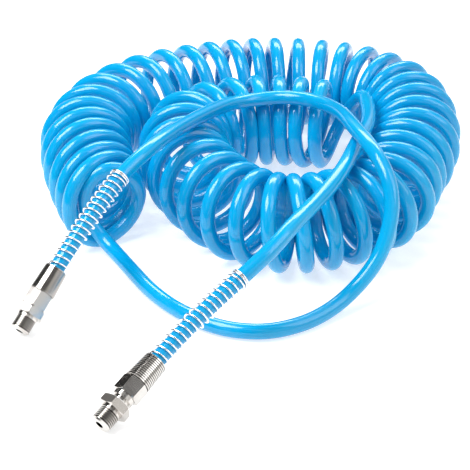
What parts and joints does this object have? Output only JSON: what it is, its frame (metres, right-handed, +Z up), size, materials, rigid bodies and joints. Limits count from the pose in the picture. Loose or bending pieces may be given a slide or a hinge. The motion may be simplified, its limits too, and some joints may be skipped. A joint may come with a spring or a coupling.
{
  "type": "coiled air hose",
  "caption": "Recoil air hose laid in a spiral ring, with spring-guarded male fittings, one rigid and one swivel, on its two free leads.",
  "frame": {"origin": "on the floor, under the middle of the footprint", "axes": "+Z up; +Y from the two fittings at the front towards the back of the coil; +X to the right as seen from the front"},
  "size_m": [0.299, 0.4518, 0.0869],
  "materials": {
    "hose": "glossy, slightly translucent",
    "nickel_brass": "bright nickel plate",
    "spring_wire": "bright drawn wire",
    "seal_rubber": "matt",
    "washer_plastic": "smooth"
  },
  "bodies": {
    "hose_and_fittings": {"hose_coil": "hose", "hose_long_lead": "hose", "hose_short_lead": "hose", "hose_rigid_end": "hose", "hose_swivel_end": "hose", "rigid_body": "nickel_brass", "rigid_clamp_nut": "nickel_brass", "rigid_spring_guard": "spring_wire", "swivel_body": "nickel_brass", "swivel_clamp_nut": "nickel_brass", "swivel_spring_guard": "spring_wire", "swivel_seal_ring": "seal_rubber", "swivel_retaining_ring": "spring_wire", "swivel_thrust_washer": "washer_plastic"},
    "swivel_stem": {"swivel_stem": "nickel_brass"}
  },
  "joints": [
    {"name": "swivel", "type": "hinge", "parent": "hose_and_fittings", "child": "swivel_stem", "pos_m": [-0.07975, -0.21019, 0.01088], "axis": [0.605, 0.7034, 0.373], "continuous": true}
  ]
}
